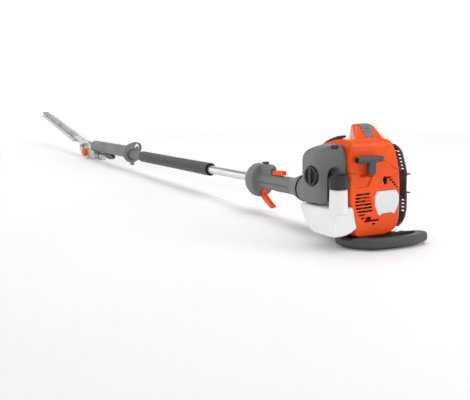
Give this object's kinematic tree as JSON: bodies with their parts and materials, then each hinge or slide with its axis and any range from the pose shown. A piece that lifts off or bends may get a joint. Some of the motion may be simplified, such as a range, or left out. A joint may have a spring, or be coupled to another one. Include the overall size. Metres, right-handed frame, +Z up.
{
  "type": "pole hedge trimmer",
  "caption": "Petrol long-reach hedge trimmer: engine with pull starter, tube with throttle handle and foam grip, and a tilting head with a double-sided blade.",
  "frame": {"origin": "on the flat sole of the impact guard, on the ground, right below the rear plane of the engine covers", "axes": "+X along the pole from the engine towards the blade, +Y to the operator's left, +Z up; the pole slopes 1.6 degrees down towards the head, because the machine rests on its guard and on its cutter head"},
  "size_m": [2.499, 0.265, 0.2544],
  "materials": {
    "orange_plastic": "glossy moulded nylon, bright orange",
    "grey_plastic": "fine-textured mid grey moulded nylon",
    "dark_plastic": "fine-textured charcoal moulded nylon",
    "black_plastic": "black moulded plastic",
    "tank_plastic": "translucent white polyethylene",
    "name_plate": "blank silver-white adhesive plate",
    "rubber": "black rubber",
    "foam": "closed-cell foam sleeve",
    "felt": "felt filter pad",
    "tube_aluminium": "drawn, clear anodised",
    "cast_aluminium": "die-cast",
    "steel": "ground steel",
    "plug_ceramic": "glazed ceramic insulator on a steel body"
  },
  "bodies": {
    "machine": {"crankcase": "cast_aluminium", "cylinder": "cast_aluminium", "recoil_spring": "steel", "ignition_module": "black_plastic", "spark_plug": "plug_ceramic", "spark_plug_boot": "rubber", "carburettor": "cast_aluminium", "muffler": "steel", "starter_cover": "orange_plastic", "label_plate": "name_plate", "top_cover": "orange_plastic", "top_insert": "grey_plastic", "filter_base": "grey_plastic", "filter_element": "felt", "filter_cover": "grey_plastic", "fuel_tank": "tank_plastic", "muffler_guard": "dark_plastic", "clutch_cover": "grey_plastic", "cover_ring": "rubber", "main_tube": "tube_aluminium", "shaft_bush_1": "black_plastic", "shaft_bush_2": "black_plastic", "shaft_bush_3": "black_plastic", "handle_left": "grey_plastic", "handle_right": "grey_plastic", "foam_grip": "foam", "spacer_tube": "grey_plastic", "hanger_clamp": "grey_plastic", "hanger_bolt": "steel", "pole_sleeve": "grey_plastic", "gear_housing": "cast_aluminium", "impact_guard": "dark_plastic"},
    "crank": {"crankshaft": "steel", "flywheel": "cast_aluminium", "clutch_shoes": "steel"},
    "piston_body": {"piston": "cast_aluminium"},
    "rope_pulley": {"recoil_pulley": "black_plastic"},
    "pull_handle": {"starter_handle": "dark_plastic"},
    "cap": {"fuel_cap": "black_plastic"},
    "cover_knob": {"filter_knob": "black_plastic"},
    "choke": {"choke_lever": "black_plastic"},
    "trigger": {"throttle_trigger": "orange_plastic"},
    "lockout": {"throttle_lockout": "orange_plastic"},
    "switch": {"stop_switch": "black_plastic"},
    "tilt_lever": {"adjusting_lever": "dark_plastic"},
    "drive_line": {"drive_shaft": "steel", "clutch_drum": "steel", "drive_gear": "steel"},
    "side_shaft": {"lay_shaft": "steel"},
    "head": {"head_housing": "cast_aluminium", "hinge_pin": "black_plastic", "gear_cover": "cast_aluminium", "guide_bar": "tube_aluminium", "root_shield": "tube_aluminium", "tip_guard": "black_plastic"},
    "lock_knob": {"release_knob": "orange_plastic"},
    "hinge_wheel": {"hinge_gear": "steel"},
    "cam_wheel": {"cam_gear": "steel"},
    "knife_low": {"lower_knife": "steel"},
    "knife_high": {"upper_knife": "steel"}
  },
  "joints": [
    {"name": "crank_spin", "type": "hinge", "parent": "machine", "child": "crank", "pos_m": [0, 0, 0.1], "axis": [0.9996, 0, -0.0279], "continuous": true},
    {"name": "piston_slide", "type": "slide", "parent": "machine", "child": "piston_body", "axis": [0.0275, -0.1736, 0.9844], "range_m": [-0.014, 0]},
    {"name": "starter_pull", "type": "slide", "parent": "machine", "child": "pull_handle", "axis": [-0.2732, 0, 0.9619], "range_m": [0, 0.5], "stiffness_N_per_m": 10, "springref_m": -1},
    {"name": "pulley_spin", "type": "hinge", "parent": "machine", "child": "rope_pulley", "pos_m": [0.01799, 0, 0.0995], "axis": [0.9996, 0, -0.0279], "range_deg": [-5, 1110]},
    {"name": "cap_turn", "type": "hinge", "parent": "machine", "child": "cap", "pos_m": [0.00298, 0.083, 0.13493], "axis": [0.0279, 0, 0.9996], "range_deg": [0, 450]},
    {"name": "filter_knob_turn", "type": "hinge", "parent": "machine", "child": "cover_knob", "pos_m": [0.0714, 0.095, 0.14903], "axis": [0, 1, 0], "range_deg": [-720, 0]},
    {"name": "choke_slide", "type": "slide", "parent": "machine", "child": "choke", "axis": [0.9996, 0, -0.0279], "range_m": [-0.004, 0.004]},
    {"name": "trigger_pivot", "type": "hinge", "parent": "machine", "child": "trigger", "pos_m": [0.40323, 0, 0.06673], "axis": [0, 1, 0], "range_deg": [0, 18], "stiffness_Nm_per_rad": 0.6, "springref_deg": -28.65},
    {"name": "lockout_pivot", "type": "hinge", "parent": "machine", "child": "lockout", "pos_m": [0.37241, 0, 0.1096], "axis": [0, -1, 0], "range_deg": [0, 5], "stiffness_Nm_per_rad": 0.3, "springref_deg": -34.38},
    {"name": "switch_rock", "type": "hinge", "parent": "machine", "child": "switch", "pos_m": [0.38908, 0, 0.13315], "axis": [0, 1, 0], "range_deg": [-3, 3]},
    {"name": "tilt_lever_pivot", "type": "hinge", "parent": "machine", "child": "tilt_lever", "pos_m": [1.58882, 0, 0.03561], "axis": [0, -1, 0], "range_deg": [0, 20], "stiffness_Nm_per_rad": 0.8, "springref_deg": -22.92},
    {"name": "drive_spin", "type": "hinge", "parent": "machine", "child": "drive_line", "pos_m": [0.99961, 0, 0.07208], "axis": [0.9996, 0, -0.0279], "continuous": true},
    {"name": "side_shaft_spin", "type": "hinge", "parent": "machine", "child": "side_shaft", "pos_m": [1.6987, 0, 0.02952], "axis": [0.9996, 0, -0.0279], "continuous": true},
    {"name": "head_tilt", "type": "hinge", "parent": "machine", "child": "head", "pos_m": [1.75367, 0, 0.02799], "axis": [0, 1, 0], "range_deg": [-43, 102]},
    {"name": "release_push", "type": "slide", "parent": "head", "child": "lock_knob", "axis": [0, 1, 0], "range_m": [0, 0.006], "stiffness_N_per_m": 400, "springref_m": -0.01},
    {"name": "hinge_wheel_spin", "type": "hinge", "parent": "head", "child": "hinge_wheel", "pos_m": [1.75367, 0, 0.02799], "axis": [0, 1, 0], "continuous": true},
    {"name": "cam_spin", "type": "hinge", "parent": "head", "child": "cam_wheel", "pos_m": [1.80493, 0, 0.03675], "axis": [-0.1685, 0, 0.9857], "continuous": true},
    {"name": "lower_knife_slide", "type": "slide", "parent": "head", "child": "knife_low", "axis": [0.9857, 0, 0.1685], "range_m": [-0.008, 0.008]},
    {"name": "upper_knife_slide", "type": "slide", "parent": "head", "child": "knife_high", "axis": [0.9857, 0, 0.1685], "range_m": [-0.008, 0.008]}
  ],
  "couplings": [
    {"joint": "pulley_spin", "follows": "starter_pull", "rad_per_m": 38.462},
    {"joint": "side_shaft_spin", "follows": "drive_spin", "ratio": -1},
    {"joint": "hinge_wheel_spin", "follows": "drive_spin", "ratio": 0.625},
    {"joint": "cam_spin", "follows": "drive_spin", "ratio": -0.5},
    {"joint": "upper_knife_slide", "follows": "lower_knife_slide", "ratio": -1}
  ]
}
